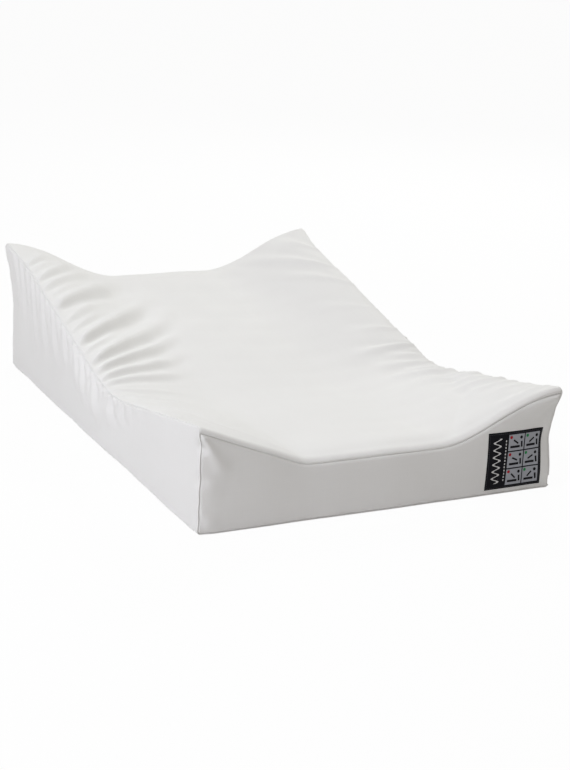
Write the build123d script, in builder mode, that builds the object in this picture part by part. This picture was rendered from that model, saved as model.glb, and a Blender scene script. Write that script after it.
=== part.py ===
from build123d import *
import os
from math import hypot

# Changing pad: a saddle-shaped foam core in a sewn cover that zips shut along the foot of one
# long side. Millimetres, +Z up, origin at the centre of the underside. The low end, which
# carries the badge, faces -Y, and the high end faces +Y.

# Overall sizes
pad_length = 750.0
pad_width = 500.0
front_corner_height = 136.0  # where a long side meets the low end
rear_corner_height = 196.0  # where a long side meets the high end
front_dish_height = 80.0  # bottom of the hollow at the low end
rear_dish_height = 138.0  # bottom of the hollow at the high end
edge_valley_height = 80.0  # where the two straight ramps of a long side would cross
dish_valley_height = 54.0  # where the two ramps of the centre line would cross
valley_from_front = 300.0
edge_valley_rounding = 6.0
dish_valley_rounding = 8.0
dish_flat_width = 156.0  # the hollow is flat across this much of the middle

# Cover
cloth = 1.0  # thickness of a cover panel
cloth_gap = 0.3  # between the top panel and the curved edges below it
lip_depth = 9.0  # the top panel turns down this far over each end
side_ease = 1.3  # room between the core and a side panel, where seams and elastic lie
elastic_width = 8.0
elastic_thickness = 0.7
elastic_length = 220.0  # centred on the valley
elastic_below_seam = 3.0

# Badge on the low end
badge_width = 86.0
badge_height = 77.0
badge_thickness = 0.6
badge_corner = 1.0
badge_from_side = 15.0
badge_above_base = 7.5

# Zip along the foot of the right side, closed at the low end
zip_height = 10.0  # its centre line above the base
zip_end_margin = 4.0  # from each end of the pad to the tapes
zip_mouth = 13.0  # opening between the side panel and the facing below it
coil_width = 2.4
coil_thickness = 1.8
coil_rounding = 0.6
coil_gap = 1.4  # between the two coils, for the slider's bridge
tape_width = 11.0  # of the upper tape; the lower one ends at the base seam
tape_thickness = 0.7
tape_gap = 0.2  # between a tape and the panel sewn over it
stop_length = 2.5
relief_depth = 2.0  # hollow in the core behind the zip
relief_height = 24.0

# Slider and pull
slider_length = 12.0
slider_plate = 1.2
slider_corner = 1.2
slider_clearance = 0.3
slider_rest_gap = 1.5  # from the top stops to the slider's nose
bridge_length = 3.0
bridge_thickness = 0.8
flange_thickness = 1.0
flange_clearance = 0.4
flange_setback = 1.5  # from each end of the plates
ear_thickness = 1.2
ear_gap = 4.0
ear_height = 2.4
pin_radius = 0.45
pin_clearance = 0.06
barrel_radius = 0.9
barrel_clearance = 0.2
pull_length = 26.0
pull_width = 5.0
pull_thickness = 1.0
pull_neck_length = 6.5
pull_corner = 1.8
pull_hole_radius = 1.4
pull_hole_from_tip = 3.5

# Grid of points that the saddle surface passes through
surface_columns = 22
surface_rows = 27
surface_overhang = 5.0  # beyond the outline
sky_height = 400.0  # above everything

front_y = -pad_length / 2
rear_y = pad_length / 2
side_x = pad_width / 2
valley_y = front_y + valley_from_front


def ramps(y, front_z, valley_z, rear_z, rounding):
    """Height of two straight ramps that meet in the valley, with the corner rounded."""
    front_ramp = valley_z + (front_z - valley_z) * (valley_y - y) / (valley_y - front_y)
    rear_ramp = valley_z + (rear_z - valley_z) * (y - valley_y) / (rear_y - valley_y)
    return (front_ramp + rear_ramp) / 2 + hypot((front_ramp - rear_ramp) / 2, rounding)


def top_height(x, y):
    """Top of the cover: flat across the middle, then rising in an S to each long side."""
    dish = ramps(y, front_dish_height, dish_valley_height, rear_dish_height, dish_valley_rounding)
    edge = ramps(y, front_corner_height, edge_valley_height, rear_corner_height, edge_valley_rounding)
    flat_half = dish_flat_width / 2
    share = min(max((abs(x) - flat_half) / (side_x - flat_half), 0.0), 1.0)
    return dish + (edge - dish) * share * share * (3 - 2 * share)


def spread(reach, count):
    """Evenly spaced values from -reach to reach."""
    return [reach * (2 * i / (count - 1) - 1) for i in range(count)]


saddle = Face.make_surface_from_array_of_points(
    [
        [Vector(x, y, top_height(x, y)) for x in spread(side_x + surface_overhang, surface_columns)]
        for y in spread(rear_y + surface_overhang, surface_rows)
    ],
    tol=0.05,
)
sky = Solid.extrude(saddle, Vector(0, 0, sky_height))


def saddle_block(x_range, y_range, foot, drop):
    """A block on this footprint, from height foot up to the saddle surface lowered by drop."""
    width = x_range[1] - x_range[0]
    length = y_range[1] - y_range[0]
    with BuildPart() as block:
        with BuildSketch(Plane.XY.offset(foot)):
            with Locations((sum(x_range) / 2, sum(y_range) / 2)):
                Rectangle(width, length)
        extrude(amount=sky_height - drop)
        add(sky.moved(Location((0, 0, -drop))), mode=Mode.SUBTRACT)
    return block


# Footprints: the end panels cross the full width, and everything else lies between them
inner_front_y = front_y + cloth
inner_rear_y = rear_y - cloth
full_width = (-side_x, side_x)
full_length = (front_y, rear_y)
inner_length = (inner_front_y, inner_rear_y)
left_wall = (-side_x, -side_x + cloth)
right_wall = (side_x - cloth, side_x)
core_half_width = side_x - cloth - side_ease

# Foam core: one block cut to the saddle, with a shallow relief behind the zip
core_blank = saddle_block((-core_half_width, core_half_width), inner_length, cloth, cloth + cloth_gap)
with BuildPart() as foam_core:
    add(core_blank.part)
    with BuildSketch(Plane.XY.offset(cloth)):
        with Locations((core_half_width, 0)):
            Rectangle(2 * relief_depth, pad_length)
    extrude(amount=relief_height - cloth, mode=Mode.SUBTRACT)

# Top panel: a skin over the core that turns down over both ends as a narrow lip
top_blank = saddle_block(full_width, full_length, cloth, 0)
under_skin = saddle_block(full_width, inner_length, 0, cloth)
under_lips = saddle_block(full_width, full_length, 0, lip_depth)
with BuildPart() as top_panel:
    add(top_blank.part)
    add(under_skin.part, mode=Mode.SUBTRACT)
    add(under_lips.part, mode=Mode.SUBTRACT)

# Panels round the four sides, and the facing strip below the zip
end_drop = lip_depth + cloth_gap
mouth_top = zip_height + zip_mouth / 2
mouth_foot = zip_height - zip_mouth / 2
front_panel = saddle_block(full_width, (front_y, inner_front_y), cloth, end_drop)
rear_panel = saddle_block(full_width, (inner_rear_y, rear_y), cloth, end_drop)
left_panel = saddle_block(left_wall, inner_length, cloth, cloth + cloth_gap)
right_panel = saddle_block(right_wall, inner_length, mouth_top, cloth + cloth_gap)
with BuildPart() as zip_facing:
    with BuildSketch(Plane.XY.offset(cloth)):
        with Locations((side_x - cloth / 2, 0)):
            Rectangle(cloth, pad_length - 2 * cloth)
    extrude(amount=mouth_foot - cloth)

with BuildPart() as base_panel:
    with BuildSketch():
        Rectangle(pad_width, pad_length)
    extrude(amount=cloth)


def seam_elastic(x_range):
    """Elastic sewn inside a side seam, which gathers the cover into the valley."""
    y_range = (valley_y - elastic_length / 2, valley_y + elastic_length / 2)
    blank = saddle_block(x_range, y_range, cloth, elastic_below_seam)
    below = saddle_block(x_range, y_range, 0, elastic_below_seam + elastic_width)
    with BuildPart() as elastic:
        add(blank.part)
        add(below.part, mode=Mode.SUBTRACT)
    return elastic


left_elastic = seam_elastic((left_wall[1], left_wall[1] + elastic_thickness))
right_elastic = seam_elastic((right_wall[0] - elastic_thickness, right_wall[0]))

# Badge, sewn flat on the low end near the right-hand corner
with BuildPart() as badge:
    with BuildSketch(Plane.XZ.offset(-front_y)):
        with Locations((side_x - badge_from_side - badge_width / 2, badge_above_base + badge_height / 2)):
            RectangleRounded(badge_width, badge_height, badge_corner)
    extrude(amount=badge_thickness)

# Zip tapes and coils, above and below the zip's centre line
tape_outer_x = right_wall[0] - tape_gap
coil_outer_x = tape_outer_x + coil_thickness
zip_front_y = front_y + zip_end_margin
zip_rear_y = rear_y - zip_end_margin
coil_inner = coil_gap / 2
coil_outer = coil_inner + coil_width
coil_front_y = zip_front_y + stop_length
coil_rear_y = zip_rear_y - stop_length


def zip_strip(inner_x, outer_x, y_range, foot, top):
    """A straight strip of the zip, running along the pad."""
    with BuildPart() as strip:
        with BuildSketch(Plane.YZ.offset(inner_x)):
            with Locations((sum(y_range) / 2, (foot + top) / 2)):
                Rectangle(y_range[1] - y_range[0], top - foot)
        extrude(amount=outer_x - inner_x)
    return strip


def zip_coil(foot, top):
    """A coil, rounded along its two outer edges."""
    strip = zip_strip(tape_outer_x, coil_outer_x, (coil_front_y, coil_rear_y), foot, top)
    with BuildPart() as coil:
        add(strip.part)
        fillet(coil.edges().filter_by(Axis.Y).group_by(Axis.X)[-1], radius=coil_rounding)
    return coil


tape_x = (tape_outer_x - tape_thickness, tape_outer_x)
tape_y = (zip_front_y, zip_rear_y)
zip_tape_upper = zip_strip(*tape_x, tape_y, zip_height + coil_inner, zip_height + coil_inner + tape_width)
zip_tape_lower = zip_strip(*tape_x, tape_y, cloth, zip_height - coil_inner)
zip_coil_upper = zip_coil(zip_height + coil_inner, zip_height + coil_outer)
zip_coil_lower = zip_coil(zip_height - coil_outer, zip_height - coil_inner)

# Stops: one on each tape at the closed end, and one across both at the other
stop_x = (tape_outer_x, coil_outer_x)
top_stop_y = (zip_front_y, coil_front_y)
zip_top_stop_upper = zip_strip(*stop_x, top_stop_y, zip_height + coil_inner, zip_height + coil_outer)
zip_top_stop_lower = zip_strip(*stop_x, top_stop_y, zip_height - coil_outer, zip_height - coil_inner)
zip_bottom_stop = zip_strip(
    *stop_x, (coil_rear_y, zip_rear_y), zip_height - coil_outer, zip_height + coil_outer
)

# Slider: two plates joined by a bridge between the coils, with flanges and two pull ears
slider_front_y = coil_front_y + slider_rest_gap
slider_mid_y = slider_front_y + slider_length / 2
plate_inner_x = coil_outer_x + slider_clearance
plate_outer_x = plate_inner_x + slider_plate
back_plate_x = tape_x[0] - slider_clearance
flange_inner = coil_outer + flange_clearance
flange_outer = flange_inner + flange_thickness
pin_x = plate_outer_x + barrel_radius + barrel_clearance
with BuildPart() as zip_slider:
    for plate_x in (plate_inner_x, back_plate_x - slider_plate):
        with BuildSketch(Plane.YZ.offset(plate_x)):
            with Locations((slider_mid_y, zip_height)):
                RectangleRounded(slider_length, 2 * flange_outer, slider_corner)
        extrude(amount=slider_plate)
    with BuildSketch(Plane.YZ.offset(back_plate_x)):
        with Locations((slider_front_y + bridge_length / 2, zip_height)):
            Rectangle(bridge_length, bridge_thickness)
    extrude(amount=plate_inner_x - back_plate_x)
    with BuildSketch(Plane.YZ.offset(tape_outer_x + flange_clearance)):
        for side in (-1, 1):
            with Locations((slider_mid_y, zip_height + side * (flange_inner + flange_outer) / 2)):
                Rectangle(slider_length - 2 * flange_setback, flange_thickness)
    extrude(amount=plate_inner_x - tape_outer_x - flange_clearance)
    with BuildSketch(Plane.YZ.offset(plate_outer_x)):
        for side in (-1, 1):
            with Locations((slider_mid_y, zip_height + side * (ear_gap + ear_thickness) / 2)):
                Rectangle(ear_height, ear_thickness)
    extrude(amount=ear_height)
    with Locations((pin_x, slider_mid_y, zip_height)):
        Cylinder(pin_radius + pin_clearance, ear_gap + 4 * ear_thickness, mode=Mode.SUBTRACT)

# Pull: a flat tab with a hole near its tip, turning on a pin held in the slider's ears
pull_tip_y = slider_mid_y + pull_length
neck_end_y = slider_mid_y + pull_neck_length
barrel_length = ear_gap - 2 * barrel_clearance
with BuildPart() as zip_pull:
    with BuildSketch(Plane.YZ.offset(pin_x - pull_thickness / 2)):
        with Locations(((neck_end_y + pull_tip_y) / 2, zip_height)):
            RectangleRounded(pull_tip_y - neck_end_y, pull_width, pull_corner)
        with Locations(((slider_mid_y + neck_end_y) / 2 + pull_corner / 2, zip_height)):
            Rectangle(pull_neck_length + pull_corner, barrel_length)
        with Locations((pull_tip_y - pull_hole_from_tip, zip_height)):
            Circle(pull_hole_radius, mode=Mode.SUBTRACT)
    extrude(amount=pull_thickness)
    with Locations((pin_x, slider_mid_y, zip_height)):
        Cylinder(barrel_radius, barrel_length)
        Cylinder(pin_radius, ear_gap + 2 * ear_thickness)

pieces = {
    "foam_core": foam_core,
    "top_panel": top_panel,
    "front_panel": front_panel,
    "rear_panel": rear_panel,
    "left_panel": left_panel,
    "right_panel": right_panel,
    "base_panel": base_panel,
    "left_elastic": left_elastic,
    "right_elastic": right_elastic,
    "badge": badge,
    "zip_facing": zip_facing,
    "zip_tape_upper": zip_tape_upper,
    "zip_tape_lower": zip_tape_lower,
    "zip_coil_upper": zip_coil_upper,
    "zip_coil_lower": zip_coil_lower,
    "zip_top_stop_upper": zip_top_stop_upper,
    "zip_top_stop_lower": zip_top_stop_lower,
    "zip_bottom_stop": zip_bottom_stop,
    "zip_slider": zip_slider,
    "zip_pull": zip_pull,
}

os.makedirs("parts", exist_ok=True)
for name, piece in pieces.items():
    piece.part.label = name
    export_step(piece.part, f"parts/{name}.step")
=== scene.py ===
import math

import bmesh
import bpy
import numpy as np
from mathutils import Matrix, Vector
from mathutils.kdtree import KDTree


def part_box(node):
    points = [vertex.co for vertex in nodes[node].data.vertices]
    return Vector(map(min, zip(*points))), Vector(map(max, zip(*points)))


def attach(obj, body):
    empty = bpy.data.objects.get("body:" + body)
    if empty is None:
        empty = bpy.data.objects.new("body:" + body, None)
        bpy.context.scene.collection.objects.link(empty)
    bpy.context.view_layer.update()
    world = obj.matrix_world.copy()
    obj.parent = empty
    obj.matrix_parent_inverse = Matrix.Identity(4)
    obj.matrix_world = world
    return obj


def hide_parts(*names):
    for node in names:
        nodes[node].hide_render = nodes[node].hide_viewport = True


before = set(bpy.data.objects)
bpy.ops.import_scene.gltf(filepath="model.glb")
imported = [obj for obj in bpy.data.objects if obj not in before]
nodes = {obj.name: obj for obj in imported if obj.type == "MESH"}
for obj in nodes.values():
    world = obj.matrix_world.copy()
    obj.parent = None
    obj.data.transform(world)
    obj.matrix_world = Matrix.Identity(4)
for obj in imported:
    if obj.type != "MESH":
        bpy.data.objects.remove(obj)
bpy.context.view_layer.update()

# ---------------------------------------------------------------------------------------------
# Camera: standing off the low end's left corner, looking down on the pad a little through a
# fairly long lens, and tilted slightly to one side.
# ---------------------------------------------------------------------------------------------
camera_place = Vector((-0.941, -1.955, 0.714))
camera_turn = math.radians(-26.8)
camera_down = math.radians(16.9)
camera_roll = math.radians(2.71)
camera_lens_mm = 73.87

look = Vector((
    -math.sin(camera_turn) * math.cos(camera_down),
    math.cos(camera_turn) * math.cos(camera_down),
    -math.sin(camera_down),
))
level_right = Vector((math.cos(camera_turn), math.sin(camera_turn), 0.0))
level_up = level_right.cross(look)
tilted_right = level_right * math.cos(camera_roll) + level_up * math.sin(camera_roll)
tilted_up = level_up * math.cos(camera_roll) - level_right * math.sin(camera_roll)


def place_in_scene(name, data):
    """A new object in the scene for this mesh, lamp or camera."""
    piece = bpy.data.objects.new(name, data)
    bpy.context.scene.collection.objects.link(piece)
    return piece


camera_data = bpy.data.cameras.new("camera")
camera_data.lens = camera_lens_mm
camera = place_in_scene("camera", camera_data)
camera.matrix_world = Matrix.Translation(camera_place) @ Matrix(
    (tilted_right, tilted_up, -look)
).transposed().to_4x4()
bpy.context.scene.camera = camera
bpy.context.scene.view_settings.view_transform = "Standard"

# ---------------------------------------------------------------------------------------------
# Foam core: one block of soft polyurethane foam, hot-wire cut to a saddle. Two straight ramps
# meet in a valley, and a flat-bottomed hollow runs the length of the pad between raised sides.
# In use its edges sag and its corners are drawn out, and the cover follows it.
# ---------------------------------------------------------------------------------------------
base_low, base_high = (Vector(corner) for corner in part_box("base_panel"))
half_width = base_high.x
low_end_y = base_low.y
high_end_y = base_high.y
cloth_thickness = base_high.z - base_low.z
valley_y = low_end_y + 0.300
hollow_flat_half_width = 0.078
# Heights at the low end, in the valley and at the high end: down the middle, and along each side
hollow_heights = (0.080, 0.054, 0.138)
side_heights = (0.136, 0.080, 0.196)
hollow_valley_rounding = 0.008
side_valley_rounding = 0.006
foam_inset = 0.008


def two_ramps(y, low_end, valley, high_end, rounding):
    """Height of two straight ramps that meet in the valley, with the corner rounded."""
    low_ramp = valley + (low_end - valley) * (valley_y - y) / (valley_y - low_end_y)
    high_ramp = valley + (high_end - valley) * (y - valley_y) / (high_end_y - valley_y)
    return (low_ramp + high_ramp) / 2 + np.hypot((low_ramp - high_ramp) / 2, rounding)


def smooth(share):
    share = np.clip(share, 0.0, 1.0)
    return share * share * (3 - 2 * share)


def saddle_height(x, y):
    """Top of the pad: flat across the middle, then rising in an S to each long side."""
    hollow = two_ramps(y, *hollow_heights, hollow_valley_rounding)
    side = two_ramps(y, *side_heights, side_valley_rounding)
    rise = smooth((np.abs(x) - hollow_flat_half_width) / (half_width - hollow_flat_half_width))
    return hollow + (side - hollow) * rise


millimetre = 0.001
# The low end's left half falls to the hollow in a straight slope: where across the pad it starts
# and how softly, and how far along the pad the change is felt
slope_start = 0.110
slope_easing = 0.06
slope_reach = 0.13
slope_fall = side_heights[0] - hollow_heights[0]
# Each top corner: across, along, and how far its point is pulled out across, along and up, in mm
corner_points = (
    (-1, -1, 1.5, 1.0, 1.0),
    (1, -1, 9.0, 3.0, 1.5),
    (-1, 1, 8.0, 3.0, 1.5),
    (1, 1, 5.0, 3.0, 2.0),
)
corner_point_reach = 0.042
corner_point_foot = 0.35
corner_waist_mm = 3.0
# Places up each end's corner seams where the stitching has knotted the cloth, and how deep, in mm
corner_knots = ((0.80, 4.2), (0.66, 1.0), (0.50, 1.8), (0.30, 1.0), (0.12, 1.8))
corner_knot_reach = 0.009
# The low end's left seam is the knotted one; the other three show this share of it
faint_knots = 0.25
# Each corner is rounded off at its foot
foot_rounding_mm = 2.5
foot_rounding_reach = 0.016
foot_rounding_height = 0.02
# How far the worn edges stray from straight, and the height up to which the floor holds them
sway_across_mm = 0.7
sway_along_mm = 0.5
sway_up_mm = 0.6
sway_foot = 0.03
# The zip's tapes keep the foot of the right side straight
zip_hold_from = 0.215
zip_hold_ramp = 0.030
zip_hold_top = 0.016
zip_hold_release = 0.060


def lie(points):
    """Carries points of the plain form to where the worn pad has them: foam, panels and trimmings."""
    x, y, z = points[..., 0].copy(), points[..., 1].copy(), points[..., 2].copy()
    top_z = saddle_height(x, y)
    height = np.clip(z / top_z, 0, 1.02)
    out = (-x - slope_start) / (half_width - slope_start)
    slope = np.clip((out + np.hypot(out, slope_easing)) / 2, 0, 1)
    curve = smooth((-x - hollow_flat_half_width) / (half_width - hollow_flat_half_width))
    near_low_end = np.exp(-(((y - low_end_y) / slope_reach) ** 2))
    moved_z = z + height * slope_fall * (slope - curve) * near_low_end * (x < 0)
    moved_x, moved_y = x.copy(), y.copy()
    for across, along, out_mm, on_mm, up_mm in corner_points:
        away_x = half_width - across * x
        away_y = high_end_y - along * y
        reach = np.exp(-((away_x ** 2 + away_y ** 2) / corner_point_reach ** 2))
        pull = reach * smooth((height - corner_point_foot) / (1 - corner_point_foot)) ** 2
        waist = reach * np.sin(math.pi * np.clip(height, 0, 1)) * corner_waist_mm
        moved_x += across * (out_mm * pull - waist) * millimetre
        moved_y += along * (on_mm * pull - waist) * millimetre
        moved_z += up_mm * pull * millimetre
        knotted = 1.0 if (across, along) == (-1, -1) else faint_knots
        for knot_height, knot_mm in corner_knots:
            away_z = z - knot_height * top_z
            near = np.exp(-((away_x ** 2 + away_y ** 2 + away_z ** 2) / corner_knot_reach ** 2))
            moved_x -= across * near * knotted * knot_mm * millimetre
            moved_y -= along * near * knotted * knot_mm * millimetre
        at_edge = np.exp(-((away_x ** 2 + away_y ** 2) / foot_rounding_reach ** 2))
        foot_round = at_edge * np.exp(-(z / foot_rounding_height))
        moved_x -= across * foot_round * foot_rounding_mm * millimetre
        moved_y -= along * foot_round * foot_rounding_mm * millimetre
    lift = smooth(z / sway_foot)
    sway = np.sin(13.0 * y + 1.0) + 0.7 * np.sin(29.0 * y + 2.4) + 0.4 * np.sin(61.0 * y + 18.0 * z)
    sway_x = np.sin(17.0 * x + 0.6) + 0.6 * np.sin(37.0 * x + 2.0) + 0.4 * np.sin(71.0 * x)
    moved_x += sway_across_mm * millimetre * sway * (x / half_width) ** 5
    moved_y += sway_along_mm * millimetre * sway_x * (y / high_end_y) ** 7
    moved_z += sway_up_mm * millimetre * lift * (sway * np.abs(x / half_width) ** 3 + 0.5 * sway_x)
    low_down = 1 - smooth((z - zip_hold_top) / zip_hold_release)
    at_zip = smooth((x - zip_hold_from) / zip_hold_ramp) * low_down
    moved_x += (x - moved_x) * at_zip
    moved_y += (y - moved_y) * at_zip
    return np.stack([moved_x, moved_y, np.maximum(moved_z, 0.0)], axis=-1)


def mesh_of_grids(name, grids, ways):
    """One mesh from rectangular grids of points, each wound so that its faces point its way."""
    points, faces = [], []
    for grid, way in zip(grids, ways):
        rows, columns = grid.shape[:2]
        start = sum(len(part) for part in points)
        points.append(grid.reshape(-1, 3))
        corner = (np.arange(rows - 1)[:, None] * columns + np.arange(columns - 1)).ravel() + start
        ring = [corner, corner + 1, corner + columns + 1, corner + columns]
        middle = grid[rows // 2, columns // 2]
        facing = np.cross(
            grid[rows // 2, columns // 2 + 1] - middle, grid[rows // 2 + 1, columns // 2] - middle
        )
        if np.dot(facing, way) < 0:
            ring.reverse()
        faces.append(np.stack(ring, axis=1))
    mesh = bpy.data.meshes.new(name)
    mesh.from_pydata(np.concatenate(points).tolist(), [], np.concatenate(faces).tolist())
    mesh.polygons.foreach_set("use_smooth", [True] * len(mesh.polygons))
    return place_in_scene(name, mesh)


def merge_doubles(piece, distance):
    """Joins points that lie together, so that neighbouring grids close into one skin."""
    work = bmesh.new()
    work.from_mesh(piece.data)
    bmesh.ops.remove_doubles(work, verts=work.verts, dist=distance)
    bmesh.ops.recalc_face_normals(work, faces=work.faces)
    work.to_mesh(piece.data)
    work.free()


def wired(tree, kind, **values):
    """A node of this kind, with its named input values set."""
    node = tree.nodes.new(kind)
    for name, value in values.items():
        node.inputs[name.replace("_", " ")].default_value = value
    return node


def plain_material(name, roughness):
    """A new material of this roughness, with its node tree and its shader."""
    material = bpy.data.materials.new(name)
    material.use_nodes = True
    tree = material.node_tree
    shader = tree.nodes["Principled BSDF"]
    shader.inputs["Roughness"].default_value = roughness
    return material, tree, shader


def tint_between(tree, shader, share, low, low_colour, high, high_colour):
    """Colours the shader by share: one colour up to low, the other from high on."""
    tint = tree.nodes.new("ShaderNodeValToRGB")
    for stop, position, colour in zip(tint.color_ramp.elements, (low, high), (low_colour, high_colour)):
        stop.position = position
        stop.color = (*colour, 1)
    tree.links.new(share, tint.inputs["Fac"])
    tree.links.new(tint.outputs["Color"], shader.inputs["Base Color"])


def raise_surface(tree, shader, height, strength, depth):
    """Raises the shader's surface by a pattern of heights."""
    bump = wired(tree, "ShaderNodeBump", Strength=strength, Distance=depth)
    tree.links.new(height, bump.inputs["Height"])
    tree.links.new(bump.outputs["Normal"], shader.inputs["Normal"])


def cell_foam_material():
    """Open-cell foam: cream, full of small pores, painted darker as painted shade in their hollows."""
    material, tree, shader = plain_material("cream_cell_foam", roughness=0.95)
    position = tree.nodes.new("ShaderNodeTexCoord")
    pores = wired(tree, "ShaderNodeTexVoronoi", Scale=700.0)
    tree.links.new(position.outputs["Object"], pores.inputs["Vector"])
    solid_share = pores.outputs["Distance"]
    # The pores are painted darker: painted shade in their hollows
    tint_between(tree, shader, solid_share, 0.0, (0.62, 0.57, 0.43), 0.45, (0.90, 0.86, 0.73))
    raise_surface(tree, shader, solid_share, strength=0.6, depth=0.0006)
    return material


foam_columns, foam_rows, foam_wall_rows = 45, 66, 9
foam_x = np.linspace(-half_width + foam_inset, half_width - foam_inset, foam_columns)
foam_y = np.linspace(low_end_y + foam_inset, high_end_y - foam_inset, foam_rows)
foam_top = np.empty((foam_rows, foam_columns, 3))
foam_top[..., 0], foam_top[..., 1] = np.meshgrid(foam_x, foam_y)
foam_top[..., 2] = saddle_height(foam_top[..., 0], foam_top[..., 1]) - foam_inset
foam_base = foam_top.copy()
foam_base[..., 2] = 2 * cloth_thickness
foam_top = lie(foam_top)
foam_wall_share = np.linspace(0, 1, foam_wall_rows)[:, None, None]


def foam_wall(edge_of):
    """One wall of the block, from this edge of its base up to the same edge of its top."""
    return edge_of(foam_base) * (1 - foam_wall_share) + edge_of(foam_top) * foam_wall_share


foam = mesh_of_grids(
    "foam_block",
    [
        foam_top,
        foam_base,
        foam_wall(lambda grid: grid[None, 0]),
        foam_wall(lambda grid: grid[None, -1]),
        foam_wall(lambda grid: grid[None, :, 0]),
        foam_wall(lambda grid: grid[None, :, -1]),
    ],
    [(0, 0, 1), (0, 0, -1), (0, -1, 0), (0, 1, 0), (-1, 0, 0), (1, 0, 0)],
)
merge_doubles(foam, 0.0001)
foam.data.materials.append(cell_foam_material())
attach(foam, "pad")
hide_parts("foam_core")

# ---------------------------------------------------------------------------------------------
# Cover, as cut: six panels of white cotton. The top panel rolls over both ends to a seam just
# below the edge; the other seams run along the pad's edges. Each panel is a grid of points.
# ---------------------------------------------------------------------------------------------
edge_roll = 0.009
roll_length = edge_roll * math.pi / 2
top_run = (high_end_y - low_end_y) - 2 * edge_roll + 2 * roll_length
zip_mouth_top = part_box("right_panel")[0][2]


def along_pad(run):
    """Place along the pad, and how far below the saddle, at this run of cloth from the low end."""
    from_end = np.minimum(run, top_run - run)
    turn = np.clip(from_end / edge_roll, 0, math.pi / 2)
    inward = np.where(
        from_end < roll_length, edge_roll * (1 - np.cos(turn)), edge_roll + from_end - roll_length
    )
    drop = edge_roll * (1 - np.sin(turn))
    return np.where(run < top_run / 2, low_end_y + inward, high_end_y - inward), drop


def cut_panels(across, run, up, mouth_top):
    """The six panels' points as cut, at these shares across, runs of cloth and shares of the height."""
    x = across * half_width
    y, drop = along_pad(run)
    top = np.stack(np.broadcast_arrays(x[None, :], y[:, None], 0.0), axis=2)
    top[..., 2] = saddle_height(top[..., 0], top[..., 1]) - drop[:, None]
    base = top.copy()
    base[..., 2] = 0.0
    panels = {"top": top, "base": base}
    for name, column in (("left", 0), ("right", -1)):
        foot = mouth_top if name == "right" else 0.0
        wall = np.repeat(top[None, :, column], len(up), axis=0)
        wall[..., 2] = foot + (wall[..., 2] - foot) * up[:, None]
        panels[name] = wall
    for name, row in (("low_end", 0), ("high_end", -1)):
        wall = np.repeat(top[None, row], len(up), axis=0)
        wall[..., 2] = wall[..., 2] * up[:, None]
        panels[name] = wall
    return panels


panel_names = ("top", "base", "left", "right", "low_end", "high_end")
outward_ways = {
    "top": (0, 0, 1), "base": (0, 0, -1), "left": (-1, 0, 0), "right": (1, 0, 0),
    "low_end": (0, -1, 0), "high_end": (0, 1, 0),
}

# ---------------------------------------------------------------------------------------------
# Cover, filled: the foam presses the cloth out between the seams, which stay put. A coarse copy
# of the closed cover is inflated as cloth, and each panel takes its swell from that.
# ---------------------------------------------------------------------------------------------
swell_limit = 0.0035
swell_pressure = 4.0
swell_frames = 20
swell_spacing = 0.012
# A middling height of the walls, by which their rows are spaced
wall_height = 0.14


def even_shares(length, spacing, low=0.0, high=1.0):
    """Evenly spaced places from low to high, about a spacing apart over this length."""
    return np.linspace(low, high, max(5, round(length / spacing) + 1))


def border_of(grid):
    """Marks the points round the edge of a grid."""
    return np.pad(np.zeros((grid.shape[0] - 2, grid.shape[1] - 2), bool), 1, constant_values=True)


def inflate(piece, held):
    """Runs the cloth simulation on piece with the held points fixed, and returns where points end."""
    pins = piece.vertex_groups.new(name="held")
    pins.add(held, 1.0, "REPLACE")
    cloth = piece.modifiers.new("cloth", "CLOTH")
    cloth.settings.quality = 5
    cloth.settings.mass = 0.3
    cloth.settings.vertex_group_mass = "held"
    cloth.settings.use_pressure = True
    cloth.settings.uniform_pressure_force = swell_pressure
    cloth.settings.effector_weights.gravity = 0
    cloth.collision_settings.use_collision = False
    cloth.point_cache.frame_start = 1
    cloth.point_cache.frame_end = swell_frames
    for number in range(1, swell_frames + 1):
        bpy.context.scene.frame_set(number)
    settled = piece.evaluated_get(bpy.context.evaluated_depsgraph_get())
    points = np.empty(len(settled.data.vertices) * 3)
    settled.data.vertices.foreach_get("co", points)
    bpy.context.scene.frame_set(1)
    return points.reshape(-1, 3)


def swell_of_panels():
    """How far each panel's coarse points move when the cover is filled."""
    across = even_shares(2 * half_width, swell_spacing, -1.0, 1.0)
    run = even_shares(top_run, swell_spacing, 0.0, top_run)
    up = even_shares(wall_height, swell_spacing)
    panels = cut_panels(across, run, up, 0.0)
    grids = [panels[name] for name in panel_names]
    balloon = mesh_of_grids("cover_balloon", grids, [outward_ways[name] for name in panel_names])
    start = np.concatenate([grid.reshape(-1, 3) for grid in grids])
    merge_doubles(balloon, 0.00005)
    merged = np.empty(len(balloon.data.vertices) * 3)
    balloon.data.vertices.foreach_get("co", merged)
    merged = merged.reshape(-1, 3)
    nearest = KDTree(len(merged))
    for index, point in enumerate(merged):
        nearest.insert(point, index)
    nearest.balance()
    owner = np.array([nearest.find(point)[1] for point in start])
    borders = np.concatenate([border_of(grid).ravel() for grid in grids])
    resting = merged[:, 2] < 1e-5
    held = sorted(set(owner[borders].tolist()) | set(np.flatnonzero(resting).tolist()))
    moved = inflate(balloon, held) - merged
    size = np.linalg.norm(moved, axis=1, keepdims=True)
    moved *= np.minimum(1.0, swell_limit / np.maximum(size, 1e-9))
    bpy.data.objects.remove(balloon)
    swells, first = {}, 0
    for name, grid in zip(panel_names, grids):
        count = grid.shape[0] * grid.shape[1]
        swells[name] = moved[owner[first:first + count]].reshape(grid.shape)
        first += count
    return swells


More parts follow.
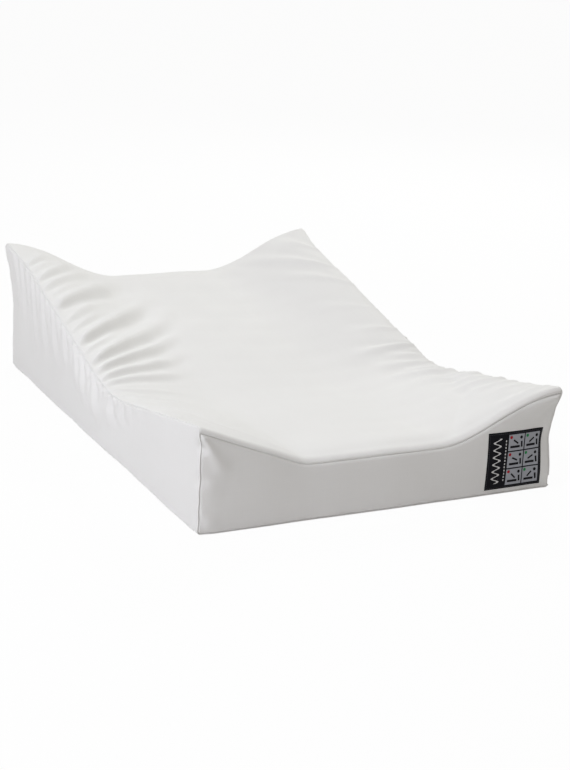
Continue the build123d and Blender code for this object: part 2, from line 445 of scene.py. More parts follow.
def spline_weights(shares, count):
    """Weights that carry values at evenly spaced points to these shares of the way, smoothly."""
    weights = np.zeros((len(shares), count))
    for row, place in enumerate(np.clip(shares, 0, 1) * (count - 1)):
        whole = min(int(place), count - 2)
        part = place - whole
        terms = (
            (1 - part) ** 3, 3 * part ** 3 - 6 * part ** 2 + 4,
            -3 * part ** 3 + 3 * part ** 2 + 3 * part + 1, part ** 3,
        )
        for offset, term in zip((-1, 0, 1, 2), terms):
            weights[row, min(max(whole + offset, 0), count - 1)] += term / 6
    return weights


def resample(grid, row_shares, column_shares):
    """A coarse grid's values, carried smoothly to a finer grid's rows and columns."""
    rows = spline_weights(row_shares, grid.shape[0])
    columns = spline_weights(column_shares, grid.shape[1])
    return np.einsum("ri,ijk,cj->rck", rows, grid, columns)


# ---------------------------------------------------------------------------------------------
# Cover, creased: elastic in the two side seams draws the cloth into the valley. Long folds fan
# out from there over the top panel, slanted pleats drop from it down the sides, and fine
# puckers run along the seam itself. Every fold fades out before it reaches another seam.
# ---------------------------------------------------------------------------------------------
# The left folds turn away from the valley, up to this angle, and are longest behind it
left_fan_turn = math.radians(50)
left_fan_spread = 0.045
left_fan_forward_reach = 0.130
left_fan_rear_reach = 0.300
left_fan_growth = 0.080
# The right folds run straighter across: their slant in degrees at four places along the seam,
# most over the low end's quarter and behind the valley, and how far they run
right_turn_places = (-0.36, -0.20, -0.02, 0.17)
right_turn_degrees = (-5, 34, 10, 48)
right_forward_reach = 0.092
right_rear_reach = 0.190
right_growth_start = 0.125
right_growth = 0.150
fold_end_margin = 0.015
# Each fold: where it leaves the side seam, the share of its reach it runs, its height in mm, and
# how broad it is beside the others
left_top_folds = (
    (-0.235, 0.9, 0.8, 0.5),
    (-0.185, 0.9, 0.9, 0.6),
    (-0.130, 1.0, 1.2, 0.6),
    (-0.092, 1.0, 1.4, 0.6),
    (-0.072, 1.0, 2.0, 0.7),
    (-0.052, 1.0, 3.4, 0.7),
    (-0.038, 1.0, 4.4, 0.7),
    (-0.020, 1.0, 5.6, 0.8),
    (0.002, 1.0, 6.8, 1.0),
    (0.030, 0.5, 1.8, 0.4),
    (0.056, 1.0, 7.0, 1.0),
    (0.088, 0.4, 1.8, 0.4),
    (0.116, 0.5, 2.2, 0.6),
    (0.158, 1.0, 6.4, 1.2),
    (0.188, 0.5, 1.6, 0.5),
    (0.215, 1.0, 3.2, 0.8),
    (0.245, 1.0, 3.8, 0.7),
    (0.270, 0.3, 1.4, 0.5),
    (0.295, 1.0, 3.0, 0.6),
)
right_top_folds = (
    (-0.350, 1.0, 2.0, 0.7),
    (-0.318, 0.7, 1.8, 0.6),
    (-0.290, 1.0, 3.0, 0.8),
    (-0.262, 1.0, 4.4, 0.9),
    (-0.232, 0.9, 2.2, 0.6),
    (-0.205, 1.1, 4.6, 0.9),
    (-0.178, 0.9, 2.4, 0.6),
    (-0.144, 1.3, 5.2, 1.1),
    (-0.110, 0.8, 2.0, 0.6),
    (-0.080, 1.0, 3.2, 0.8),
    (-0.050, 0.7, 1.6, 0.6),
    (-0.020, 1.1, 3.6, 0.8),
    (0.030, 1.0, 1.4, 0.8),
    (0.090, 1.0, 1.2, 0.8),
    (0.167, 0.9, 2.0, 0.9),
    (0.223, 1.0, 2.8, 0.9),
    (0.292, 1.0, 2.2, 0.8),
)
# Each side pleat: where it leaves the top seam, and how far forward, how far down, its height in mm
side_pleats = (
    (0.345, 0.040, 0.110, 2.2),
    (0.322, 0.042, 0.120, 2.8),
    (0.296, 0.045, 0.110, 2.2),
    (0.270, 0.048, 0.120, 3.2),
    (0.246, 0.046, 0.095, 2.4),
    (0.222, 0.046, 0.100, 3.4),
    (0.196, 0.046, 0.085, 2.6),
    (0.172, 0.046, 0.090, 3.4),
    (0.148, 0.042, 0.070, 2.8),
    (0.124, 0.042, 0.070, 3.6),
    (0.098, 0.042, 0.062, 3.0),
    (0.072, 0.044, 0.066, 5.4),
    (0.046, 0.048, 0.072, 6.6),
    (0.018, 0.042, 0.066, 6.2),
    (-0.006, 0.040, 0.070, 7.0),
    (-0.032, 0.026, 0.054, 5.4),
    (-0.052, 0.018, 0.040, 4.2),
    (-0.072, 0.010, 0.046, 5.2),
    (-0.092, 0.006, 0.028, 2.4),
    (-0.114, 0.000, 0.036, 3.2),
    (-0.144, -0.004, 0.026, 2.0),
    (-0.180, -0.004, 0.020, 1.4),
)
# Each end fold: its foot and its tip, each across and up the end panel, and its height in mm
low_end_folds = (
    ((-0.249, 0.126), (-0.214, 0.070), 4.0),
    ((-0.249, 0.104), (-0.232, 0.040), 2.0),
    ((-0.249, 0.030), (-0.222, 0.012), 1.4),
    ((0.249, 0.124), (0.200, 0.106), 2.6),
    ((0.249, 0.118), (0.238, 0.070), 2.2),
)
fold_foot_width = 0.0046
fold_tip_width = 0.0165
fold_wander = 0.0014
# Beside each crest lies a trough: its depth, place and breadth as shares of the crest's
fold_trough = (0.55, 1.5, 1.1)
# Shares of a fold's length: over which it rises, where it starts to fade, and over which it fades
fold_rise, fold_fade_start, fold_fade = 0.12, 0.58, 0.50
left_fold_bow = 0.02
side_pleat_breadth = 0.95
pucker_spacing = 0.0085
pucker_reach = 0.009
pucker_height = 0.0009
pucker_half_length = 0.140
# The panels that share a seam don't pucker in step
top_pucker_shift = 0.004
side_pucker_shift = 0.003
ripple_height = 0.00018
# Folds and puckers fade out this close to a side seam, an end seam, a corner seam and the foot
side_seam_hold = 0.004
end_seam_hold = 0.02
corner_seam_hold = 0.006
foot_hold_share = 0.12
# The high end has the low end's folds the other way about, higher up and milder
high_end_fold_lift = 0.058
high_end_fold_share = 0.7


def fold(a, b, foot, tip, height_mm, breadth=1.0, bow=0.0):
    """Height of one fold over a flat panel's places a and b: narrow at its foot, fading to its tip."""
    run_a, run_b = tip[0] - foot[0], tip[1] - foot[1]
    length = math.hypot(run_a, run_b)
    share = ((a - foot[0]) * run_a + (b - foot[1]) * run_b) / length ** 2
    along_share = np.clip(share, 0, 1)
    wander = fold_wander * np.sin(5.0 * share + 90.0 * foot[1]) * along_share
    wander = wander - bow * length * 4 * along_share * (1 - along_share)
    aside = ((a - foot[0]) * run_b - (b - foot[1]) * run_a) / length + wander
    width = breadth * (fold_foot_width + (fold_tip_width - fold_foot_width) * along_share)
    trough_depth, trough_place, trough_breadth = fold_trough
    trough = np.exp(-(((aside - trough_place * width) / (trough_breadth * width)) ** 2))
    crest = np.exp(-((aside / width) ** 2)) - trough_depth * trough
    along = smooth((share + 0.02) / fold_rise) * (1 - smooth((share - fold_fade_start) / fold_fade))
    return height_mm * millimetre * crest * along


def fold_tip(side, foot_y, reach_share):
    """Far end of a fold of the top panel, turned away from the valley and short of the far seam."""
    behind = foot_y - valley_y
    if side < 0:
        turn = left_fan_turn * math.tanh(behind / left_fan_spread)
        growth = float(smooth(behind / left_fan_growth))
        reach = left_fan_forward_reach + (left_fan_rear_reach - left_fan_forward_reach) * growth
    else:
        turn = math.radians(np.interp(foot_y, right_turn_places, right_turn_degrees))
        growth = float(smooth((behind - right_growth_start) / right_growth))
        reach = right_forward_reach + (right_rear_reach - right_forward_reach) * growth
    reach = reach * reach_share
    if turn > 0:
        reach = min(reach, (high_end_y - fold_end_margin - foot_y) / math.sin(turn))
    return side * (half_width - reach * math.cos(turn)), foot_y + reach * math.sin(turn)


def seam_puckers(y, from_seam):
    """Fine ripples beside a side seam, where the elastic gathers it."""
    place = (y - valley_y) / pucker_half_length
    gather = np.clip(1 - place ** 2, 0, 1)
    ripple = np.sin(2 * math.pi * y / pucker_spacing + 1.7 * np.sin(41.0 * y) + 1.1 * np.sin(97.0 * y))
    return pucker_height * gather * ripple * np.exp(-from_seam / pucker_reach)


def slack_ripples(a, b):
    """Broad, very low unevenness of cloth that lies loose on foam."""
    waves = np.sin(83.0 * a + 31.0 * b) + np.sin(47.0 * a - 71.0 * b + 1.3) + np.sin(129.0 * b + 17.0 * a)
    return ripple_height * waves * (1.2 + np.sin(11.0 * a + 2.0) * np.sin(9.0 * b))


def creases_of(name, panel, run_from_end, height_share):
    """How far each point of a panel stands out from the plain form, along the panel's outward way."""
    x, y, z = panel[..., 0], panel[..., 1], panel[..., 2]
    rise = np.zeros(x.shape)
    if name == "top":
        for side, folds, bow in ((-1, left_top_folds, left_fold_bow), (1, right_top_folds, 0.0)):
            for foot_y, reach_share, height_mm, breadth in folds:
                tip = fold_tip(side, foot_y, reach_share)
                rise += fold(x, y, (side * half_width, foot_y), tip, height_mm, breadth, bow)
            rise += seam_puckers(y + top_pucker_shift * side, half_width - side * x)
        at_sides = smooth((half_width - np.abs(x)) / side_seam_hold)
        rise *= at_sides * smooth(run_from_end / end_seam_hold)[:, None]
        rise += slack_ripples(x, y)
    if name in ("left", "right"):
        seam_z = saddle_height(x, y)
        for foot_y, forward, down, height_mm in side_pleats:
            foot_z = float(saddle_height(half_width, foot_y))
            tip = (foot_y - forward, foot_z - down)
            rise += fold(y, z, (foot_y, foot_z), tip, height_mm, side_pleat_breadth)
        rise += seam_puckers(y + side_pucker_shift, seam_z - z)
        rise *= smooth((seam_z - z) / side_seam_hold) * smooth(height_share / foot_hold_share)[:, None]
    if name == "low_end":
        for foot, tip, height_mm in low_end_folds:
            rise += fold(x, z, foot, tip, height_mm)
        rise *= smooth((half_width - np.abs(x)) / corner_seam_hold)
    if name == "high_end":
        for foot, tip, height_mm in low_end_folds:
            rise += fold(-x, z - high_end_fold_lift, foot, tip, high_end_fold_share * height_mm)
        rise *= smooth((half_width - np.abs(x)) / corner_seam_hold)
    return rise


# ---------------------------------------------------------------------------------------------
# Cover, sewn together: at each seam the two panels turn in over a narrow rounded shoulder and
# meet at the bottom of the groove, where the lockstitch pulls them down.
# ---------------------------------------------------------------------------------------------
seam_sink = 0.0016
seam_shoulder = 0.0040


def sink_seam(panel, distance, inward):
    """Turns a panel in towards its seam, over a narrow rounded shoulder."""
    depth = seam_sink * np.clip(1 - distance / seam_shoulder, 0, 1) ** 2
    return panel + depth[..., None] * np.array(inward)


# ---------------------------------------------------------------------------------------------
# Cover cloth: a smooth white cotton percale. Its threads show as a fine plain weave with the
# odd thicker thread, and it has the faint sheen of pressed cotton.
# ---------------------------------------------------------------------------------------------
thread_pitch = 0.0007
cloth_shell_share = 0.6


def calculate(tree, operation, first, second=None, third=None):
    """The result of one sum on up to three numbers or patterns."""
    node = tree.nodes.new("ShaderNodeMath")
    node.operation = operation
    for socket, value in zip(node.inputs, (first, second, third)):
        if value is None:
            continue
        if isinstance(value, (int, float)):
            socket.default_value = value
        else:
            tree.links.new(value, socket)
    return node.outputs[0]


def blend_threads(tree, shader, share, thread_shade_and_tone_colour, colour):
    """Colours the shader between the shaded side of the threads and their lit side."""
    mix = tree.nodes.new("ShaderNodeMix")
    mix.data_type = "RGBA"
    # Colour A is painted shade, the threads' shaded side; colour B is their lit side
    mix.inputs["A"].default_value = (*thread_shade_and_tone_colour, 1)
    mix.inputs["B"].default_value = (*colour, 1)
    tree.links.new(share, mix.inputs["Factor"])
    tree.links.new(mix.outputs["Result"], shader.inputs["Base Color"])


def thicken(piece, name, thickness):
    """Gives a sheet its thickness, inwards from its outer face."""
    shell = piece.modifiers.new(name, "SOLIDIFY")
    shell.thickness = thickness
    shell.offset = -1.0


def woven_material(name, colour, thread_shade_and_tone_colour, pitch, bump_depth, sheen, roughness, map_name):
    """A plain weave on the piece's own cloth map, which is in metres along and across the threads."""
    material, tree, shader = plain_material(name, roughness)
    shader.inputs["Sheen Weight"].default_value = sheen
    shader.inputs["Sheen Roughness"].default_value = 0.45
    shader.inputs["Specular IOR Level"].default_value = 0.25
    cloth_map = tree.nodes.new("ShaderNodeUVMap")
    cloth_map.uv_map = map_name
    apart = tree.nodes.new("ShaderNodeSeparateXYZ")
    tree.links.new(cloth_map.outputs["UV"], apart.inputs[0])
    turns = 2 * math.pi / pitch
    warp = calculate(tree, "SINE", calculate(tree, "MULTIPLY", apart.outputs["X"], turns))
    weft = calculate(tree, "SINE", calculate(tree, "MULTIPLY", apart.outputs["Y"], turns))
    weave = calculate(tree, "MULTIPLY", warp, weft)
    slubs = []
    for stretch in ((1.0, 0.02, 1.0), (0.02, 1.0, 1.0)):
        place = wired(tree, "ShaderNodeMapping", Scale=stretch)
        thread = wired(tree, "ShaderNodeTexNoise", Scale=900.0, Detail=2.0)
        tree.links.new(cloth_map.outputs["UV"], place.inputs["Vector"])
        tree.links.new(place.outputs["Vector"], thread.inputs["Vector"])
        slubs.append(thread.outputs["Fac"])
    slub = calculate(tree, "ADD", slubs[0], slubs[1])
    position = tree.nodes.new("ShaderNodeTexCoord")
    cloud = wired(tree, "ShaderNodeTexNoise", Scale=9.0, Detail=3.0)
    tree.links.new(position.outputs["Object"], cloud.inputs["Vector"])
    # The weave's part of this tone is painted shade between the threads; the slubs and the broad cloud are
    # the cotton's own uneven tone
    tone = calculate(tree, "MULTIPLY_ADD", weave, 0.10, calculate(tree, "MULTIPLY", slub, 0.35))
    tone = calculate(tree, "MULTIPLY_ADD", cloud.outputs["Fac"], 0.45, tone)
    blend_threads(tree, shader, tone, thread_shade_and_tone_colour, colour)
    height = calculate(tree, "MULTIPLY_ADD", weave, 0.5, calculate(tree, "MULTIPLY", slub, 0.8))
    raise_surface(tree, shader, height, strength=0.35, depth=bump_depth)
    return material


# The darker colour is painted shade between the threads, and also the cotton's own uneven tone
percale = woven_material(
    "white_percale", colour=(0.88, 0.88, 0.868), thread_shade_and_tone_colour=(0.80, 0.80, 0.79), pitch=thread_pitch,
    bump_depth=0.00016, sheen=0.18, roughness=0.72, map_name="cloth",
)


def lay_cloth_map(piece, along_threads):
    """Gives a grid-made piece a map in metres that follows its cloth, one value for each point."""
    layer = piece.data.uv_layers.new(name="cloth")
    corners = np.empty(len(piece.data.loops), dtype=int)
    piece.data.loops.foreach_get("vertex_index", corners)
    layer.data.foreach_set("uv", along_threads[corners].ravel())


# Rows close beside a seam, which carry its rounded shoulder
seam_rows = np.array([0.0, 0.0007, 0.0015, 0.0024, 0.0036, 0.0052])


def graded(length, spacing, low=0.0):
    """Places from low, over length: close beside both seams, and evenly spaced between."""
    inside = length - 2 * seam_rows[-1]
    middle = np.linspace(0, inside, max(2, round(inside / spacing) + 1))[1:]
    return low + np.concatenate([seam_rows, seam_rows[-1] + middle, length - seam_rows[-2::-1]])


panel_spacing = 0.0029
wall_spacing = 0.0035
across_shares = graded(2 * half_width, panel_spacing, -half_width) / half_width
run_places = graded(top_run, panel_spacing)
up_shares = graded(wall_height, wall_spacing) / wall_height
swells = swell_of_panels()
panels = cut_panels(across_shares, run_places, up_shares, zip_mouth_top)
run_from_end = np.minimum(run_places, top_run - run_places)
side_distance = half_width * (1 - np.abs(across_shares))
run_shares = run_places / top_run
width_shares = (across_shares + 1) / 2
# Each panel's rows and columns, as shares of its two sides
panel_shares = {
    "top": (run_shares, width_shares), "base": (run_shares, width_shares),
    "left": (up_shares, run_shares), "right": (up_shares, run_shares),
    "low_end": (up_shares, width_shares), "high_end": (up_shares, width_shares),
}
finished = {}
for name in panel_names:
    panel = panels[name]
    way = np.array(outward_ways[name], float)
    shape = panel.copy()
    shape += creases_of(name, panel, run_from_end, up_shares)[..., None] * way
    if swells is not None and name != "base":
        shape += resample(swells[name], *panel_shares[name])
    x_sign = np.sign(panel[..., 0])[..., None] * np.array([1.0, 0, 0])
    y_sign = np.sign(panel[..., 1])[..., None] * np.array([0, 1.0, 0])
    up_way = np.array([0, 0, 1.0])
    height_here = panel[..., 2]
    below_top = np.abs(panel[-1:, :, 2] - height_here) if name not in ("top", "base") else None
    if name == "top":
        shape = sink_seam(shape, np.broadcast_to(side_distance, shape.shape[:2]), -x_sign - up_way)
        shape = sink_seam(shape, np.broadcast_to(run_from_end[:, None], shape.shape[:2]), -y_sign)
    elif name == "base":
        shape = sink_seam(shape, np.broadcast_to(side_distance, shape.shape[:2]), -x_sign + up_way)
        shape = sink_seam(shape, np.broadcast_to(run_from_end[:, None], shape.shape[:2]), -y_sign + up_way)
    elif name in ("left", "right"):
        shape = sink_seam(shape, below_top, -x_sign - up_way)
        shape = sink_seam(shape, np.broadcast_to(run_from_end, shape.shape[:2]), -x_sign - y_sign)
        shape = sink_seam(shape, height_here, -x_sign + up_way)
    else:
        shape = sink_seam(shape, below_top, -y_sign)
        shape = sink_seam(shape, np.broadcast_to(side_distance, shape.shape[:2]), -x_sign - y_sign)
        shape = sink_seam(shape, height_here, -y_sign + up_way)
    finished[name] = lie(shape)


# Where panels share a seam, both take the middle of their two places for it
shared = {}
for name in panel_names:
    edge = border_of(panels[name])
    for key, place in zip(np.round(panels[name][edge], 5).tolist(), finished[name][edge]):
        shared.setdefault(tuple(key), []).append(place)
for name in panel_names:
    edge = border_of(panels[name])
    keys = np.round(panels[name][edge], 5).tolist()
    finished[name][edge] = np.array([np.mean(shared[tuple(key)], axis=0) for key in keys])

panel_nodes = {
    "top": "top_panel", "base": "base_panel", "left": "left_panel", "right": "right_panel",
    "low_end": "front_panel", "high_end": "rear_panel",
}
# The two of X, Y and Z that each panel's threads run along
thread_axes = {
    "top": (0, 1), "base": (0, 1), "left": (1, 2), "right": (1, 2), "low_end": (0, 2), "high_end": (0, 2),
}
for name in panel_names:
    piece = mesh_of_grids("cover_" + name, [finished[name]], [outward_ways[name]])
    lay_cloth_map(piece, panels[name].reshape(-1, 3)[:, thread_axes[name]])
    piece.data.materials.append(percale)
    thicken(piece, "cloth_thickness", cloth_thickness * cloth_shell_share)
    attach(piece, "pad")
    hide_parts(panel_nodes[name])

# ---------------------------------------------------------------------------------------------
# Elastics: two braided bands sewn stretched inside the side seams at the valley. Let go, they
# draw the seams short and gather the cloth into the folds and puckers around them.
# ---------------------------------------------------------------------------------------------
def elastic_material():
    """Braided elastic: close ribs along its length."""
    material, tree, shader = plain_material("white_braided_elastic", roughness=0.75)
    shader.inputs["Base Color"].default_value = (0.85, 0.85, 0.83, 1)
    position = tree.nodes.new("ShaderNodeTexCoord")
    ribs = wired(tree, "ShaderNodeTexWave", Scale=300.0, Distortion=0.4)
    ribs.bands_direction = "Y"
    tree.links.new(position.outputs["Object"], ribs.inputs["Vector"])
    raise_surface(tree, shader, ribs.outputs["Fac"], strength=0.6, depth=0.0003)
    return material


braid = elastic_material()
elastic_inset = 0.0062
elastic_width = 0.0080
elastic_thickness = 0.0008
elastic_ripple = 0.0002
elastic_rows, elastic_columns = 5, 90
for node, side in (("left_elastic", -1), ("right_elastic", 1)):
    elastic_low, elastic_high = (Vector(corner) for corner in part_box(node))
    band_y = np.linspace(elastic_low.y, elastic_high.y, elastic_columns)
    band_down = np.linspace(0.0, elastic_width, elastic_rows)
    band = np.empty((elastic_rows, elastic_columns, 3))
    band[..., 0] = side * (half_width - elastic_inset)
    band[..., 1] = band_y[None, :]
    band[..., 2] = saddle_height(half_width, band_y)[None, :] - elastic_inset - band_down[:, None]
    band[..., 0] += elastic_ripple * np.sin(900.0 * band[..., 1])
    elastic = mesh_of_grids(node + "_band", [lie(band)], [(side, 0, 0)])
    elastic.data.materials.append(braid)
    thicken(elastic, "braid_thickness", elastic_thickness)
    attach(elastic, "pad")
    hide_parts(node)

# ---------------------------------------------------------------------------------------------
# Badge: a black woven label, sewn flat to the low end with black thread. Six pale woven fields
# carry plain shapes, with a red or green spot each, and a pale wave runs up the dark strip.
# ---------------------------------------------------------------------------------------------
badge_low, badge_high = (Vector(corner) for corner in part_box("badge"))
badge_lift = 0.0006
badge_thickness = 0.0006
# The badge's woven figures stand this far off it, those on the pale fields a little further
figure_lift = 0.0003
field_figure_lift = 0.0005
figure_thickness = 0.0002
figure_square = 0.0022
badge_thread_pitch = 0.0005
badge_width = badge_high.x - badge_low.x
badge_height = badge_high.z - badge_low.z


def on_low_end(x, z, lift):
    """The place on the finished low-end panel over this spot of the plain one, lifted off the cloth."""
    x, z = np.asarray(x, float), np.asarray(z, float)
    column = np.interp(x / half_width, across_shares, np.arange(len(across_shares)))
    share = z / (saddle_height(x, low_end_y) - edge_roll)
    row = np.interp(share, up_shares, np.arange(len(up_shares)))
    left, below = column.astype(int), row.astype(int)
    right = np.minimum(left + 1, len(across_shares) - 1)
    above = np.minimum(below + 1, len(up_shares) - 1)
    along = (column - left)[..., None]
    upward = (row - below)[..., None]
    grid = finished["low_end"]
    place = (grid[below, left] * (1 - along) + grid[below, right] * along) * (1 - upward)
    place = place + (grid[above, left] * (1 - along) + grid[above, right] * along) * upward
    return place + np.array([0, -lift, 0])


def sewn_shapes(name, outlines, lift, material):
    """Flat woven shapes on the badge, each from its outline in metres from the badge's corner."""
    points, faces = [], []
    for outline in outlines:
        first = len(points)
        places = on_low_end(
            [badge_low.x + spot[0] for spot in outline], [badge_low.z + spot[1] for spot in outline],
            badge_lift + lift,
        )
        points += places.tolist()
        faces.append(list(range(first, len(points))))
    mesh = bpy.data.meshes.new(name)
    mesh.from_pydata(points, [], faces)
    piece = place_in_scene(name, mesh)
    merge_doubles(piece, 0.00001)
    mesh.materials.append(material)
    thicken(piece, "woven_thickness", figure_thickness)
    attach(piece, "pad")


def ring(centre, radius, count=16):
    """A small round spot."""
    turns = [2 * math.pi * step / count for step in range(count)]
    return [[(centre[0] + radius * math.cos(t), centre[1] + radius * math.sin(t)) for t in turns]]


def slab(centre, length, width, tilt=0.0):
    """An oblong, in small squares so that it follows the cloth under it."""
    c, s = math.cos(tilt), math.sin(tilt)
    longways = np.linspace(-length / 2, length / 2, max(2, round(length / figure_square) + 1))
    sideways = np.linspace(-width / 2, width / 2, max(2, round(width / figure_square) + 1))
    squares = []
    for a0, a1 in zip(longways[:-1], longways[1:]):
        for b0, b1 in zip(sideways[:-1], sideways[1:]):
            corners = ((a0, b0), (a1, b0), (a1, b1), (a0, b1))
            squares.append([(centre[0] + c * a - s * b, centre[1] + s * a + c * b) for a, b in corners])
    return squares


def woven_badge_material(name, colour, thread_shade_and_tone_colour, sheen):
    """A close satin weave, drawn in the pad's own X and Z."""
    material, tree, shader = plain_material(name, roughness=0.85)
    shader.inputs["Sheen Weight"].default_value = sheen
    shader.inputs["Specular IOR Level"].default_value = 0.08
    position = tree.nodes.new("ShaderNodeTexCoord")
    apart = tree.nodes.new("ShaderNodeSeparateXYZ")
    tree.links.new(position.outputs["Object"], apart.inputs[0])
    turns = 2 * math.pi / badge_thread_pitch
    slant = calculate(tree, "ADD", apart.outputs["X"], calculate(tree, "MULTIPLY", apart.outputs["Z"], 0.5))
    rib = calculate(tree, "SINE", calculate(tree, "MULTIPLY", slant, turns))
    cross = calculate(tree, "SINE", calculate(tree, "MULTIPLY", apart.outputs["Z"], turns))
    weave = calculate(tree, "MULTIPLY_ADD", rib, 0.6, calculate(tree, "MULTIPLY", cross, 0.4))
    # The weave's ribs are painted lighter and darker: painted shade between the threads
    blend_threads(tree, shader, calculate(tree, "MULTIPLY_ADD", weave, 0.35, 0.5), thread_shade_and_tone_colour, colour)
    raise_surface(tree, shader, weave, strength=0.4, depth=0.00012)
    return material


# Each label weave's second colour is painted shade on its threads
black_weave = woven_badge_material("black_satin_weave", (0.006, 0.006, 0.008), (0.012, 0.012, 0.015), 0.0)
pale_weave = woven_badge_material("pale_grey_weave", (0.46, 0.48, 0.52), (0.36, 0.37, 0.41), 0.0)
white_weave = woven_badge_material("white_thread_weave", (0.80, 0.80, 0.80), (0.55, 0.55, 0.55), 0.1)
red_weave = woven_badge_material("red_thread_weave", (0.50, 0.03, 0.04), (0.30, 0.02, 0.03), 0.1)
green_weave = woven_badge_material("green_thread_weave", (0.04, 0.30, 0.10), (0.02, 0.18, 0.06), 0.1)

# The hem stitches draw the badge's rim towards the cloth by this share of its lift
badge_rim_draw = 0.6
badge_columns, badge_rows = 40, 36
badge_u = np.linspace(badge_low.x, badge_high.x, badge_columns)
badge_v = np.linspace(badge_low.z, badge_high.z, badge_rows)
badge_grid_x, badge_grid_z = np.meshgrid(badge_u, badge_v)
badge_grid = on_low_end(badge_grid_x, badge_grid_z, badge_lift)
badge_rim = border_of(badge_grid)
badge_grid[badge_rim] += np.array([0, badge_lift * badge_rim_draw, 0])
badge = mesh_of_grids("badge_cloth", [badge_grid], [(0, -1, 0)])
badge.data.materials.append(black_weave)
thicken(badge, "woven_thickness", badge_thickness)
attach(badge, "pad")
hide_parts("badge")

field_width = 0.0245
field_height = 0.0215
field_gap = 0.0018
field_margin = 0.0045
field_left = badge_width - 2 * field_width - field_gap - field_margin
field_foot = (badge_height - 3 * field_height - 2 * field_gap) / 2
# In each field: a lying bar near its foot, a standing bar on its right, a slanting bar near its
# middle, a disc at its top right and a spot in its top left corner
lying_bar = (0.0150, 0.0030)
standing_bar = (0.0026, 0.0080)
standing_tilt = 0.10
slanting_bar = (0.0090, 0.0022)
slanting_tilts = (0.75, 0.45, 0.60)
spot_radius = 0.0021
fields, shapes, red_spots, green_spots = [], [], [], []
for column in range(2):
    for row in range(3):
        x0 = field_left + column * (field_width + field_gap)
        z0 = field_foot + row * (field_height + field_gap)
        middle = (x0 + field_width / 2, z0 + field_height / 2)
        fields += slab(middle, field_width, field_height)
        shapes += slab((middle[0] - 0.0020, z0 + 0.0050), *lying_bar)
        shapes += slab((middle[0] + 0.0086, middle[1] - 0.0030), *standing_bar, standing_tilt)
        tilt = slanting_tilts[row] * (-1 if column == 0 else 1)
        shapes += slab((middle[0] - 0.0010, middle[1] + 0.0008), *slanting_bar, tilt)
        shapes += ring((middle[0] + 0.0072, middle[1] + 0.0062), spot_radius)
        spot = ring((x0 + 0.0032, z0 + field_height - 0.0034), spot_radius)
        if column == 0:
            red_spots += spot
        else:
            green_spots += spot
sewn_shapes("badge_fields", fields, figure_lift, pale_weave)
sewn_shapes("badge_shapes", shapes, field_figure_lift, black_weave)
sewn_shapes("badge_red_spots", red_spots, field_figure_lift, red_weave)
sewn_shapes("badge_green_spots", green_spots, field_figure_lift, green_weave)

# A pale wave and a row of dashes, woven up the dark strip
wave_steps = 64
wave_turn = 0.62
wave_sway = 0.0048
wave_half_width = 0.0016
wave_end_gap = 0.008
wave_middle = field_left / 2 - 0.0015
dash_count = 13
dash_pitch = 0.0044
dash_size = (0.0014, 0.0024)
lowest_dash = (field_left - 0.0040, 0.012)
wave = []
for number in range(wave_steps):
    ends = []
    for step in (number, number + 1):
        z = wave_end_gap + (badge_height - 2 * wave_end_gap) * step / wave_steps
        ends.append((wave_middle + wave_sway * math.sin(step * wave_turn), z))
    (xa, za), (xb, zb) = ends
    wave.append([
        (xa - wave_half_width, za), (xa + wave_half_width, za),
        (xb + wave_half_width, zb), (xb - wave_half_width, zb),
    ])
for number in range(dash_count):
    wave += slab((lowest_dash[0], lowest_dash[1] + dash_pitch * number), *dash_size)
sewn_shapes("badge_wave", wave, figure_lift, white_weave)


def stitch_tree():
    """Stitches along a line of edges: a short rounded thread at every step, lying along the line."""
    tree = bpy.data.node_groups.new("run_of_stitches", "GeometryNodeTree")
    face = tree.interface
    face.new_socket("Geometry", in_out="INPUT", socket_type="NodeSocketGeometry")
    for name, value in (("Step", 0.0028), ("Stitch Length", 0.0020), ("Thread Radius", 0.00022)):
        face.new_socket(name, in_out="INPUT", socket_type="NodeSocketFloat").default_value = value
    face.new_socket("Thread", in_out="INPUT", socket_type="NodeSocketMaterial")
    face.new_socket("Geometry", in_out="OUTPUT", socket_type="NodeSocketGeometry")
    entry = tree.nodes.new("NodeGroupInput")
    leave = tree.nodes.new("NodeGroupOutput")
    line = tree.nodes.new("GeometryNodeMeshToCurve")
    steps = tree.nodes.new("GeometryNodeResampleCurve")
    steps.mode = "LENGTH"
    tangent = tree.nodes.new("GeometryNodeInputTangent")
    align = tree.nodes.new("FunctionNodeAlignRotationToVector")
    align.axis = "Z"
    bead = tree.nodes.new("GeometryNodeMeshUVSphere")
    bead.inputs["Segments"].default_value = 6
    bead.inputs["Rings"].default_value = 5
    stretch = tree.nodes.new("ShaderNodeCombineXYZ")
    half = tree.nodes.new("ShaderNodeMath")
    half.operation = "MULTIPLY"
    half.inputs[1].default_value = 0.5
    put = tree.nodes.new("GeometryNodeInstanceOnPoints")
    real = tree.nodes.new("GeometryNodeRealizeInstances")
    paint = tree.nodes.new("GeometryNodeSetMaterial")
    link = tree.links.new
    link(entry.outputs["Geometry"], line.inputs["Mesh"])
    link(line.outputs["Curve"], steps.inputs["Curve"])
    link(entry.outputs["Step"], steps.inputs["Length"])
    link(tangent.outputs["Tangent"], align.inputs["Vector"])
    link(entry.outputs["Stitch Length"], half.inputs[0])
    for axis in ("X", "Y"):
        link(entry.outputs["Thread Radius"], stretch.inputs[axis])
    link(half.outputs[0], stretch.inputs["Z"])
    link(steps.outputs["Curve"], put.inputs["Points"])
    link(bead.outputs["Mesh"], put.inputs["Instance"])
    link(align.outputs["Rotation"], put.inputs["Rotation"])
    link(stretch.outputs["Vector"], put.inputs["Scale"])
    link(put.outputs["Instances"], real.inputs["Geometry"])
    link(real.outputs["Geometry"], paint.inputs["Geometry"])
    link(entry.outputs["Thread"], paint.inputs["Material"])
    link(paint.outputs["Geometry"], leave.inputs["Geometry"])
    return tree


stitches = stitch_tree()


